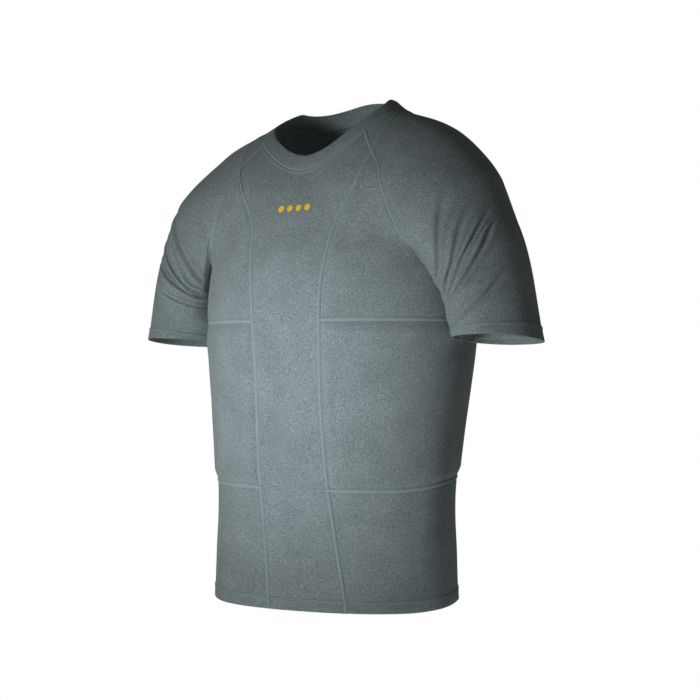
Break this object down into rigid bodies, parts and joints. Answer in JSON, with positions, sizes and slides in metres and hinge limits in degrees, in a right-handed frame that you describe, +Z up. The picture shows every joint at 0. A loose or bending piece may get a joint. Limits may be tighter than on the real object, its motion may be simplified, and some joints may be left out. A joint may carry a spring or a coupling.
{
  "type": "padded compression shirt",
  "caption": "Short-sleeved raglan compression shirt in heathered grey jersey with padded rib panels, filled out as worn and hollow, open at neck, hem and cuffs.",
  "frame": {"origin": "middle of the neck, level with the side points of the neckline, where the shirt hangs on the wearer's shoulders", "axes": "+Z up, -Y out of the front, +X towards the wearer's left"},
  "size_m": [0.615, 0.2582, 0.6902],
  "materials": {
    "jersey": "matt heathered knit"
  },
  "bodies": {
    "root": {"front_middle": "jersey", "back": "jersey", "chest_left": "jersey", "rib_left": "jersey", "lower_left": "jersey", "sleeve_left": "jersey", "chest_right": "jersey", "rib_right": "jersey", "lower_right": "jersey", "sleeve_right": "jersey", "collar": "jersey"}
  },
  "joints": []
}
